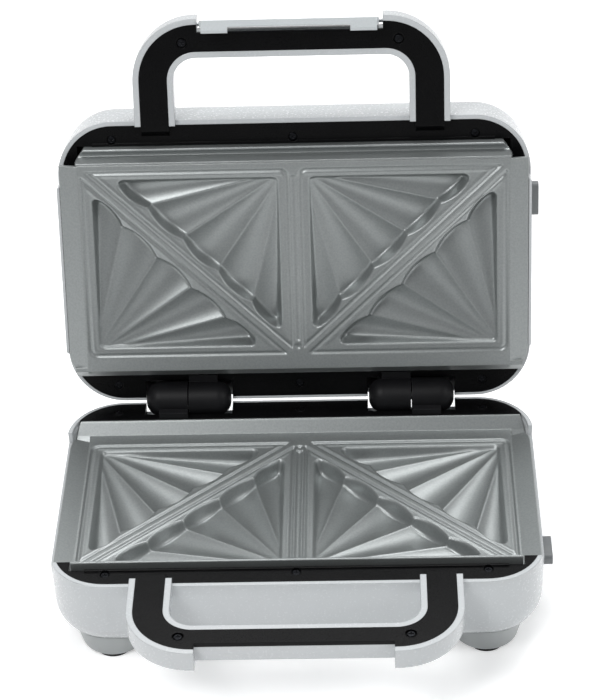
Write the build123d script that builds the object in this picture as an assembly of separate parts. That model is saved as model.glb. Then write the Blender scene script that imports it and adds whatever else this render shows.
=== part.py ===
"""Two-slice sandwich toaster with a hinged lid, shown open.

Both halves are drawn in the closed position about the parting plane z = 0, with the lower half
below it. The upper half is the mirror of the lower one where they share a form. It is swung open
about the hinge line at the end, and everything is moved so that the origin lies on the worktop
under the middle of the whole object.
"""
import math
import os

from build123d import *

# Driving dimensions, in millimetres
LID_OPEN = 103.2                      # angle of the lid from closed, degrees
HINGE_Y = 85.0
BODY_X = 139.0                        # half width of a housing at its rim
BODY_FRONT = -88.3
BODY_REAR = 87.4
BODY_CORNER = 33.0
BODY_DEPTH = 52.0                     # parting plane to the outside of the casing
BODY_DRAFT = 1.5
BOTTOM_ROUND = 19.0
WALL = 2.6
RIM = 4.33                            # rim of each housing, below the parting plane
SIDE_RIM = 11.6                       # lowered rim of the base under the plate's side wings
FACE_GAP = 0.25                       # each handle face to the parting plane

HANDLE_X = 92.0                       # half width outside
HANDLE_FRONT = -149.7
HANDLE_CORNER = 37.0
HANDLE_DEPTH = 14.2
GRIP_X = 68.4                         # finger gap, half width
GRIP_FRONT = -126.6
GRIP_CORNER = 13.5
LIP = 3.5                             # white edge around the black handle face
INLAY = 2.6                           # thickness of the black handle face
LATCH_X = 53.6                        # half width of the recess for the clip
LATCH_FACE = -141.4
LATCH_DEPTH = 12.2

PLATE_X = 137.0                       # half width over the side wings
FACE_X = 126.5
FACE_DEPTH = 11.0                     # cooking face, offset from the parting plane
FACE_CLEAR = 0.25
PLATE_FRONT = -67.0
PLATE_REAR = 62.5
PLATE_T = 3.0
WING_RISE = 3.0
CELL_X = 63.8                         # centre of each slice's square
CELL_Y = -4.5
CELL_HALF = (61.0, 57.8)
RIB = 3.0                             # cut-and-seal rib between the two triangles
STEP = 0.8
POCKET_TIP = 100.4                    # where a pocket's sharp tips would be, along its legs
TIP_ROUND = 4.6
LOBE_END = 94.8
CUSP_LINE = 47.0                      # middle of the cusps, along either leg
LOBE_PITCH = 19.9                     # cusp to cusp, along either leg
POCKET_INSET = (6.2, 5.4)
POCKET_DEPTH = 10.0
RIDGE = 3.2                           # height of the ridges between two lobes
LOBES = 5
SCALLOP = 3.4
POCKET_DRAFT = 24.0
NOSE_ROUND = 6.0

BARREL_R = 10.5
BARREL_X = 67.3
BARREL_HALF = 25.6
PIN_R = 3.0
PIN_RUN = 0.08

BUTTON_Y = -28.4
BUTTON_D = 30.8                       # middle of a button, below the parting plane
CATCH_Y = -34.0
CATCH_D = 16.2                        # the catch that it moves
BUTTON_SIZE = (20.4, 6.8)
BUTTON_OUT = 145.3
BUTTON_TRAVEL = 2.5
CATCH_T = 2.6

CLIP_X = 51.3
CLIP_T = 3.9
CLIP_PIVOT = (-143.9, 10.6)
CLIP_END = -14.4
CLIP_TILT = 14.0                      # how far the clip stands out when it is free
CLIP_PIN_R = 1.1

FOOT_X = 106.0
FOOT_Y = (-60.0, 64.0)
FOOT_R = (18.0, 24.5)
FOOT_END = -63.1
PAD_R = 11.0
WORKTOP = -64.0

FRAME_SCREWS = [(-106.5, -77.2), (0, -77.2), (106.5, -77.2), (-110, 77.5), (0, 78), (110, 77.5)]
SHIELD_SCREWS = [(-84, -24), (84, -24), (-84, 28), (84, 28)]
SHIELD_Z = -33.4                      # underside of the heat shield in the base
ELEMENT_END = 14.0                    # half distance between the element's two ends
LID_SHIELD_RISE = 22.0                # the lid's shield and element sit this much nearer
HANDLE_SCREWS = [(-62.5, -135.5), (62.5, -135.5)]
LAMP_X = 17.0
LAMP_Y = -46.0
LAMP_R = 4.5

HINGE_AXIS = Axis((0, HINGE_Y, 0), (1, 0, 0))


def block(x, y, z):
    """Box between pairs of limits."""
    size = (x[1] - x[0], y[1] - y[0], z[1] - z[0])
    return Pos((x[0] + x[1]) / 2, (y[0] + y[1]) / 2, (z[0] + z[1]) / 2) * Box(*size)


def rod(x, y, z0, z1, r):
    """Upright cylinder."""
    return Pos(x, y, (z0 + z1) / 2) * Cylinder(r, abs(z1 - z0))


def cross_rod(x0, x1, y, z, r):
    """Cylinder along x."""
    return Pos((x0 + x1) / 2, y, z) * Rot(0, 90, 0) * Cylinder(r, abs(x1 - x0))


def rounded(x, y0, y1, r):
    """Rounded rectangle, symmetric in x."""
    return Pos(0, (y0 + y1) / 2) * RectangleRounded(2 * x, y1 - y0, r)


def profile_bar(points, half_length):
    """Bar along x with an outline given as (y, z) points."""
    face = make_face(Polyline(*[(0, y, z) for y, z in points], close=True).edges())
    return extrude(face, amount=half_length, dir=(1, 0, 0), both=True)


def body_form(inset):
    """Tapered pan with a rounded bottom; the outside, or the inside when inset."""
    sketch = rounded(BODY_X - inset, BODY_FRONT + inset, BODY_REAR - inset, BODY_CORNER - inset)
    height = BODY_DEPTH - RIM - inset
    pan = Pos(0, 0, -RIM) * extrude(sketch, amount=-height, taper=BODY_DRAFT)
    edges = pan.faces().sort_by(Axis.Z)[0].edges()
    return fillet(edges, BOTTOM_ROUND - inset)


def handle_outline(inset):
    """Plan of the U handle; inset from both its outer and inner edges."""
    outer = rounded(HANDLE_X - inset, HANDLE_FRONT + inset, -40, HANDLE_CORNER - inset)
    hole = rounded(GRIP_X + inset, GRIP_FRONT - inset, -40, GRIP_CORNER + inset)
    return (outer - hole) & (Pos(0, -120) * Rectangle(400, 80))


def latch_recess():
    """Space in the handle's front for the clip, and under the bar for its hooks."""
    front = block((-LATCH_X, LATCH_X), (-160, LATCH_FACE), (-30, 1))
    under = block((-LATCH_X, LATCH_X), (-160, -136.0), (-30, -LATCH_DEPTH))
    return front + under


def handle_shell():
    """White moulded handle, with the pocket that the black face is set into."""
    legs = handle_outline(0) - Pos(0, -50) * Rectangle(400, 72)
    grip = extrude(Pos(0, 0, -FACE_GAP) * legs, amount=FACE_GAP - HANDLE_DEPTH)
    rim_edges = grip.faces().sort_by(Axis.Z)[0].edges()
    grip = fillet(rim_edges, 3.4)
    inlay = Pos(0, 0, -FACE_GAP - INLAY) * handle_outline(LIP)
    return grip - extrude(inlay, amount=10) - latch_recess()


def posts(shield_z):
    """Screw posts inside a housing, for its frame and its heat shield."""
    frame_posts = [rod(x, y, -50, -RIM - 3.0, 2.4) for x, y in FRAME_SCREWS]
    shield_posts = [rod(x, y, -50, shield_z, 4.5) for x, y in SHIELD_SCREWS]
    spring_seat = block((124.3, 126.4), (-50.5, -46.5), (-50, -14.8))
    return frame_posts + shield_posts + [spring_seat]


def button_slot(margin):
    """Clearance through the right wall for a release button."""
    half_y = BUTTON_SIZE[0] / 2 + margin
    half_z = BUTTON_SIZE[1] / 2 + margin
    y = (BUTTON_Y - half_y, BUTTON_Y + half_y)
    return block((128, 150), y, (-BUTTON_D - half_z, -BUTTON_D + half_z))


def hinge_room():
    """Round relief behind each pair of hinge barrels."""
    length = BARREL_HALF + 0.7
    return [cross_rod(s * BARREL_X - length, s * BARREL_X + length, HINGE_Y, 0, BARREL_R + 0.7)
            for s in (-1, 1)]


def housing(shield_z):
    """Moulded casing of one half with its handle."""
    outer = body_form(0)
    shell = outer - body_form(WALL)
    shell += [post & outer for post in posts(shield_z)]
    shell += handle_shell() - outer
    shell -= extrude(Pos(0, 0, -RIM - 3.0) * frame_plan(), amount=10)
    shell -= button_slot(0.3)
    shell -= hinge_room()
    for x, y in FRAME_SCREWS:
        shell -= rod(x, y, -22, 0, 1.35)
    for x, y in HANDLE_SCREWS:
        shell -= rod(x, y, -11, 0, 1.35)
    return shell


def frame_plan():
    """Outline of the black frame inside the housing's rim."""
    return rounded(BODY_X - WALL, BODY_FRONT + WALL, BODY_REAR - WALL + 1.1, BODY_CORNER - WALL)


def inner_frame(opening_x, skirt_end):
    """Black frame around a plate, with the handle's face in one piece."""
    ring = extrude(Pos(0, 0, -RIM - 3.0) * frame_plan(), amount=3.0)
    ring -= block((-opening_x, opening_x), (-73.6, 69.8), (-20, 1))
    skirt = extrude(Pos(0, 0, skirt_end) * rounded(opening_x + 1, -74.6, 70.8, 2), amount=-RIM - 0.1 - skirt_end)
    skirt -= block((-opening_x, opening_x), (-73.6, 69.8), (-20, 1))
    ridge = block((-118, 118), (-75.2, -73.6), (-RIM, -RIM + 0.9))
    face_plan = handle_outline(LIP + 0.05) - Pos(0, -40) * Rectangle(400, 86)
    face = extrude(Pos(0, 0, -FACE_GAP - INLAY) * face_plan, amount=INLAY)
    face -= latch_recess()
    face -= block((-LATCH_X - 0.05, LATCH_X + 0.05), (-160, LATCH_FACE), (-30, 1))
    ramp = []
    for s in (-1, 1):
        x = sorted((s * (GRIP_X + LIP), s * (HANDLE_X - LIP)))
        wedge = profile_bar([(-88, -FACE_GAP), (-83.2, -FACE_GAP), (-79.2, -RIM), (-79.2, -RIM - 1),
                             (-85.6, -RIM - 1), (-85.6, -FACE_GAP - INLAY),
                             (-88, -FACE_GAP - INLAY)], 200)
        ramp.append(wedge & block(x, (-90, -70), (-10, 1)))
    body = (ring + skirt) + ridge + face + ramp
    body -= hinge_room()
    for x, y in FRAME_SCREWS:
        body -= rod(x, y, -RIM - 4, 1, 1.6)
        body -= rod(x, y, -RIM - 1.7, 1, 2.7)
    for x, y in HANDLE_SCREWS:
        body -= rod(x, y, -5, 1, 1.6)
        body -= rod(x, y, -FACE_GAP - 1.6, 1, 3.2)
    return body


def screw_set(places, seat_z, length):
    """Pan-head screws standing in their counterbores."""
    screws = []
    for x, y in places:
        screw = rod(x, y, seat_z, seat_z + 1.4, 2.4) + rod(x, y, seat_z - length, seat_z, 1.35)
        screws.append(screw - block((x - 1.6, x + 1.6), (y - 0.3, y + 0.3), (seat_z + 0.9, seat_z + 2)))
    return screws


def pocket_bounds():
    """Right triangle around a pocket, with a soft corner and two rounded tips."""
    face = make_face(Polyline((0, 0), (POCKET_TIP, 0), (0, POCKET_TIP), close=True).edges())
    corner = face.vertices().sort_by_distance((0, 0))[0]
    softened = fillet([corner], 4.5)
    tips = softened.vertices().sort_by_distance((0, 0))[-2:]
    return fillet(tips, TIP_ROUND)


def lobe_stops():
    """Cusps along the long side of a pocket, with its two tips."""
    middle = LOBE_PITCH * 1.5
    cusps = [(CUSP_LINE + middle - k * LOBE_PITCH, CUSP_LINE - middle + k * LOBE_PITCH)
             for k in range(LOBES - 1)]
    return [(LOBE_END, 0)] + cusps + [(0, LOBE_END)]


def lobe(apex, a, b):
    """One flute of the fan: a cone from the corner whose nose rises rounded to the face."""
    middle = Vector((a[0] + b[0]) / 2, (a[1] + b[1]) / 2, apex.Z)
    reach = middle - apex
    across = Vector(b[0] - a[0], b[1] - a[1], 0)
    width = abs(across.X * reach.Y - across.Y * reach.X) / reach.length / 2
    radius = (width ** 2 + RIDGE ** 2) / (2 * RIDGE)
    run = reach.length + SCALLOP - POCKET_DEPTH * math.tan(math.radians(POCKET_DRAFT))
    floor = math.hypot(run, POCKET_DEPTH + apex.Z)
    height = math.sqrt(floor ** 2 - radius ** 2)
    rise = math.atan2(radius, height) - math.atan2(POCKET_DEPTH + apex.Z, run)
    nose = radius * math.tan(math.radians(POCKET_DRAFT) + rise)
    profile = make_face(Polyline((0, 0), (radius, height), (0, height + nose), close=True).edges())
    rim = profile.vertices().sort_by(Axis.X)[-1]
    spun = revolve(Plane.XZ * fillet([rim], NOSE_ROUND), axis=Axis.Z)
    axis = reach.normalized() * math.cos(rise) + Vector(0, 0, math.sin(rise))
    return Plane(origin=apex, z_dir=axis) * spun


def pocket():
    """Fan-shaped sandwich pocket: flutes spread from one corner inside drafted walls."""
    bounds = Pos(0, 0, 0.5) * pocket_bounds()
    walls = extrude(bounds, amount=-(POCKET_DEPTH + 3), taper=POCKET_DRAFT - 4)
    apex = Vector(-3.0, -3.0, -1.0)
    stops = lobe_stops()
    flutes = [walls & lobe(apex, a, b) for a, b in zip(stops, stops[1:])]
    cutter = flutes[0]
    for flute in flutes[1:]:
        cutter += flute
    return cutter


def pocket_back():
    """Bulge of a pocket on the back of the plate."""
    leg = POCKET_TIP + 4.0
    triangle = make_face(Polyline((-2.2, -2.2), (leg, -2.2), (-2.2, leg), close=True).edges())
    return extrude(triangle, amount=PLATE_T - POCKET_DEPTH - STEP - 2.2, taper=14)


def in_cell(shape, right):
    """Both triangles of a square, for the left or right slice, from one drawn at its corner."""
    dx = CELL_HALF[0] - POCKET_INSET[0]
    dy = CELL_HALF[1] - POCKET_INSET[1]
    near = Pos(dx, -dy) * mirror(shape, about=Plane.YZ)
    far = Rot(0, 0, 180) * near
    placed = [Pos(-CELL_X, CELL_Y) * near, Pos(-CELL_X, CELL_Y) * far]
    return [mirror(s, about=Plane.YZ) for s in placed] if right else placed


def field_steps():
    """Shallow sunken fields of the triangles, which leave the rib and the borders proud."""
    hx, hy = CELL_HALF
    near = make_face(Polyline((-hx + RIB, -hy), (hx, -hy), (hx, hy - RIB), close=True).edges())
    corner = near.vertices().sort_by_distance((hx, -hy))[0]
    near = extrude(fillet([corner], 5), amount=STEP)
    fields = [Pos(-CELL_X, CELL_Y) * near, Pos(-CELL_X, CELL_Y) * Rot(0, 0, 180) * near]
    return fields + [mirror(f, about=Plane.YZ) for f in fields]


def wings(face_z, rise, ends):
    """Side wings of a plate that slope away from its face, with cut rear corners."""
    edge_z = face_z + rise
    shape = make_face(Polyline((FACE_X - 0.1, 0, face_z), (PLATE_X, 0, edge_z),
                               (PLATE_X, 0, edge_z - 2.0), (FACE_X - 0.1, 0, face_z - PLATE_T),
                               close=True).edges())
    y0, y1 = ends
    wing = Pos(0, y0) * extrude(shape, amount=y1 - y0, dir=(0, 1, 0))
    plan = make_face(Polyline((120, y0), (PLATE_X, y0), (PLATE_X, y1 - 9), (PLATE_X - 0.8, y1 - 4),
                              (PLATE_X - 3.2, y1), (120, y1), close=True).edges())
    wing &= extrude(Pos(0, 0, -30) * plan, amount=60)
    return [wing, mirror(wing, about=Plane.YZ)]


def carve(plate, face_z):
    """Pockets, sunken fields and the centre channel cut into a plate's face."""
    backs = []
    cuts = [Pos(0, 0, face_z - STEP) * f for f in field_steps()]
    fan = Pos(0, 0, face_z - STEP + 0.01) * pocket()
    back = Pos(0, 0, face_z - PLATE_T + 0.05) * pocket_back()
    for right in (False, True):
        backs += in_cell(back, right)
        cuts += in_cell(fan, right)
    plate += backs
    channel = block((-1.2, 1.2), (-58, 50), (face_z - STEP, face_z + 1))
    for cut in cuts + [channel]:
        plate -= cut
    return plate


def plate_lug(x, face_z, tip_z, side):
    """Hooked lug under a wing; the hook points inwards."""
    half = 6.0
    y = (CATCH_Y - half, CATCH_Y + half)
    post = block(sorted((side * (x + 2.6), side * (x + 4.0))), y, (tip_z, face_z - 1))
    foot = block(sorted((side * x, side * (x + 4.0))), y, (tip_z, tip_z + 2.0))
    return post + foot


LUG_X = 126.2
LUG_TIP = -CATCH_D - CATCH_T / 2 - 2.3


def lower_plate():
    """Cast plate of the base: sunk face, raised front lip and a sloping rear wall."""
    face = -FACE_DEPTH - FACE_CLEAR
    slab = block((-FACE_X, FACE_X), (-71.2, 63.4), (face - PLATE_T, face))
    lip = profile_bar([(-71.4, face - PLATE_T), (-71.2, -1.0), (-70.8, -0.6), (-69.8, -0.6),
                       (-69.3, -1.0), (-69.0, face), (-68, face - 1)], 126.0)
    rear = profile_bar([(63.2, face), (68.2, -5.0), (68.8, -4.5), (69.5, -4.6), (69.6, -6.6),
                        (65.4, face - PLATE_T), (60, face - PLATE_T)], 135)
    rear &= extrude(Pos(0, 0, -20) * rounded(136.0, -80, 84, 30), amount=20)
    plate = slab + lip + rear + wings(face, WING_RISE, (-65.5, 57.0))
    plate = carve(plate, face)
    for side in (-1, 1):
        plate += plate_lug(LUG_X, -10.9, LUG_TIP, side)
    return plate


def upper_plate():
    """Cast plate of the lid, drawn closed: proud face, channel and ridge along its front."""
    face = FACE_DEPTH - FACE_CLEAR
    slab = block((-FACE_X, FACE_X), (PLATE_FRONT + 1, PLATE_REAR - 0.6), (face - PLATE_T, face))
    front = profile_bar([(-67.4, face), (-66.4, face), (-64, face - PLATE_T), (-66, -2.2),
                         (-71.2, -5.0), (-73.4, -5.0), (-73.3, 2.2), (-72.8, 2.6), (-72.2, 2.6),
                         (-71.8, 2.2), (-71.6, -0.4), (-68.8, -0.4), (-68.2, 0.4)], 127.8)
    trim = make_face(Polyline((140, -66.0), (128.0, -66.0), (121.6, -75), (140, -75), close=True).edges())
    cut = extrude(Pos(0, 0, -8) * trim, amount=18)
    front -= [cut, mirror(cut, about=Plane.YZ)]
    front &= (block((-127.8, 127.8), (-80, -60), (-4.1, 4.1))
              + block((-126.8, 126.8), (-80, -60), (-10, face)))
    rear = profile_bar([(PLATE_REAR, face), (67.0, 4.4), (68.0, 3.4), (68.0, -5.0), (66.0, -5.0),
                        (66.0, 3.0), (60, face - PLATE_T), (60, face)], 133.8)
    for s in (-1, 1):
        rear -= block(sorted((s * 126.8, s * 200)), (50, 80), (-20, -4.1))
    sides = [block((124.5, FACE_X), (-66, 64.2), (-5.0, face - 1))]
    sides.append(mirror(sides[0], about=Plane.YZ))
    plate = slab + front + rear + sides + wings(face, -WING_RISE, (-65.6, 61.0))
    plate -= block((-200, 200), (-80, 80), (face, face + 10))
    plate = carve(plate, face)
    for side in (-1, 1):
        plate += plate_lug(LUG_X, face - 1.5, LUG_TIP, side)
    return plate


def element():
    """Tubular heating element bent into a loop, both ends turned down through the shield."""
    depth = -28.2
    path = FilletPolyline((-ELEMENT_END, -48, depth), (-98, -48, depth), (-98, 40, depth),
                          (98, 40, depth), (98, -48, depth), (ELEMENT_END, -48, depth), radius=7)
    tube = sweep(Plane(origin=(-ELEMENT_END, -48, depth), z_dir=(-1, 0, 0)) * Circle(3.3), path=path)
    for s in (-1, 1):
        tube += rod(s * ELEMENT_END, -48, depth - 2.9, depth + 3.6, 4.0)
        tube += rod(s * ELEMENT_END, -48, depth - 9.0, depth, 2.0)
    return tube


def heat_shield():
    """Folded sheet tray between the element and the casing, with cradles for the element."""
    tray = block((-114, 114), (-60, 56), (-33.4, -26))
    tray -= block((-113.2, 113.2), (-59.2, 55.2), (-32.6, -20))
    cradles = [block((x - 3, x + 3), (y - 5, y + 5), (-32.7, -31.5))
               for x in (-70, 70) for y in (-48, 40)]
    tray += cradles
    for s in (-1, 1):
        tray -= rod(s * ELEMENT_END, -48, -40, -20, 4.6)
    for x, y in SHIELD_SCREWS:
        tray -= rod(x, y, -40, -30, 1.6)
    return tray


def shield_screws():
    """Four screws that hold the heat shield to its posts."""
    return screw_set(SHIELD_SCREWS, SHIELD_Z + 0.8, 0.8)


def ceramic_bushes():
    """Insulating bushes on the element's ends."""
    return [rod(s * ELEMENT_END, -48, -35.2, -31.6, 4.5) - rod(s * ELEMENT_END, -48, -36, -30, 2.05)
            for s in (-1, 1)]


def thermostat(y):
    """Disc thermostat clipped to the shield."""
    can = rod(0, y, -41.5, -33.4, 8) + block((-12, 12), (y - 4, y + 4), (-34.4, -33.4))
    tabs = [block((s * 3.5 - 0.4, s * 3.5 + 0.4), (y - 3, y + 3), (-46, -41.4)) for s in (-1, 1)]
    return can + tabs


def thermal_fuse(x, y):
    """One-shot fuse in a sleeve, held under a strap."""
    sleeve = cross_rod(x - 9, x + 9, y, -36.2, 2.8)
    wire = cross_rod(x - 15, x + 15, y, -36.2, 0.9)
    return sleeve + wire


def lead(points):
    """Insulated internal lead."""
    path = FilletPolyline(*points, radius=5)
    start = Vector(*points[0])
    away = Vector(*points[1]) - start
    return sweep(Plane(origin=start, z_dir=away) * Circle(1.3), path=path)


def barrel(x0, x1, domed_end):
    """One hinge knuckle with a domed outer end and its mounting pad."""
    body = cross_rod(x0, x1, HINGE_Y, 0, BARREL_R)
    end = body.faces().sort_by(Axis.X)[-1 if domed_end > 0 else 0].edges()
    body = fillet(end, 8.5)
    inset0 = x0 + (8 if domed_end < 0 else 0)
    inset1 = x1 - (8 if domed_end > 0 else 0)
    pad = block((inset0, inset1), (70.2, HINGE_Y), (-RIM, -0.7))
    body += pad
    return body


def knuckles(outer, bore):
    """Pair of knuckles; the base holds the outer halves and the lid the inner ones."""
    parts = []
    for s in (-1, 1):
        if outer:
            x0, x1 = sorted((s * (BARREL_X + 0.3), s * (BARREL_X + BARREL_HALF)))
            piece = barrel(x0, x1, s)
        else:
            x0, x1 = sorted((s * (BARREL_X - 0.3), s * (BARREL_X - BARREL_HALF)))
            piece = barrel(x0, x1, -s)
        parts.append(piece - cross_rod(s * BARREL_X - 19.1, s * BARREL_X + 19.1, HINGE_Y, 0, bore))
    return parts


def release_button():
    """Push button through the right wall, with a softened face."""
    half_y = BUTTON_SIZE[0] / 2
    half_z = BUTTON_SIZE[1] / 2
    key = block((135.2, BUTTON_OUT), (BUTTON_Y - half_y, BUTTON_Y + half_y),
                (-BUTTON_D - half_z, -BUTTON_D + half_z))
    key = fillet(key.edges().filter_by(Axis.X), 1.6)
    return chamfer(key.faces().sort_by(Axis.X)[-1].edges(), 1.0)


def plate_catch():
    """Sliding catch that hooks over the plate's lug and moves with the button."""
    z = (-CATCH_D - CATCH_T / 2, -CATCH_D + CATCH_T / 2)
    slide = block((124.7, 135.8), (CATCH_Y - 9.5, CATCH_Y + 9.5), z)
    bar = block((133.2, 135.8), (-52, -17), z)
    window = block((127.6, 133.2), (CATCH_Y - 6.6, CATCH_Y + 6.6), (-30, 0))
    leg = block((133.2, 135.2), (-26, -20), (-BUTTON_D - 3, z[1]))
    return (slide + bar + leg) - window


def catch_spring():
    """Small return spring between the casing and the catch's cross bar."""
    turns = 4
    length = 5.9
    helix = Helix(pitch=length / turns, height=length, radius=1.25)
    start = Plane(origin=helix @ 0, z_dir=helix % 0)
    coil = sweep(start * RegularPolygon(0.35, 6), path=helix)
    return Pos(126.85, -48.4, -CATCH_D) * Rot(0, 90, 0) * coil


def plate_seat(outer_x):
    """Fixed hook on the left side that takes the plate's other lug."""
    z = (-CATCH_D - CATCH_T / 2, -CATCH_D + CATCH_T / 2)
    seat = block((outer_x, -124.7), (CATCH_Y - 9.5, CATCH_Y + 9.5), z)
    return seat - block((-133.2, -127.6), (CATCH_Y - 6.6, CATCH_Y + 6.6), (-30, 0))


def latch_clip():
    """Sprung-free latch clip, drawn latched: a flat bar with two hooks and a rounded pivot end."""
    y0, z0 = CLIP_PIVOT
    half = CLIP_T / 2
    bar = block((-CLIP_X, CLIP_X), (y0 - half, y0 + half), (CLIP_END, z0))
    bar = fillet(bar.edges().filter_by(Axis.Y).group_by(Axis.Z)[0], 2.5)
    bar += cross_rod(-CLIP_X, CLIP_X, y0, z0, half)
    for s in (-1, 1):
        x = sorted((s * 35.0, s * (CLIP_X - 1.0)))
        hook = profile_bar([(y0, CLIP_END), (-140.0, CLIP_END), (-138.4, CLIP_END + 0.8),
                            (-138.4, CLIP_END + 1.9), (y0, CLIP_END + 1.9)], 200)
        bar += hook & block(x, (-150, -130), (-20, 0))
    return bar - cross_rod(-60, 60, y0, z0, CLIP_PIN_R + PIN_RUN)


def clip_pin():
    """Steel pin that the clip turns on, held by the ends of the recess."""
    return cross_rod(-LATCH_X - 4, LATCH_X + 4, *CLIP_PIVOT, CLIP_PIN_R)


def feet():
    """Four conical feet that fit the rounded underside of the casing."""
    outer = body_form(0)
    parts = []
    for s in (-1, 1):
        for y in FOOT_Y:
            cone = Pos(s * FOOT_X, y, (FOOT_END - 38) / 2) * Cone(FOOT_R[0], FOOT_R[1], -38 - FOOT_END)
            foot = fillet(cone.edges().sort_by(Axis.Z)[0], 3)
            foot -= outer
            parts.append(foot - rod(s * FOOT_X, y, -70, FOOT_END + 1.5, PAD_R))
    return parts


def foot_pads():
    """Rubber discs let into the feet."""
    pads = []
    for s in (-1, 1):
        for y in FOOT_Y:
            pad = rod(s * FOOT_X, y, WORKTOP, FOOT_END + 1.5, PAD_R)
            pads.append(chamfer(pad.edges().sort_by(Axis.Z)[0], 0.5))
    return pads


def swing_open(shape):
    """Move a piece of the lid from closed to the open rest position."""
    return shape.rotate(HINGE_AXIS, -LID_OPEN)


def to_lid(shape):
    """Lower-half form turned into the lid's, then opened."""
    if isinstance(shape, list):
        return [to_lid(s) for s in shape]
    return swing_open(mirror(shape, about=Plane.XY))


def clip_at_rest(shape):
    """The clip hangs free, tilted out from the handle."""
    y, z = CLIP_PIVOT
    return swing_open(shape.rotate(Axis((0, y, z), (1, 0, 0)), -CLIP_TILT))


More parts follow.
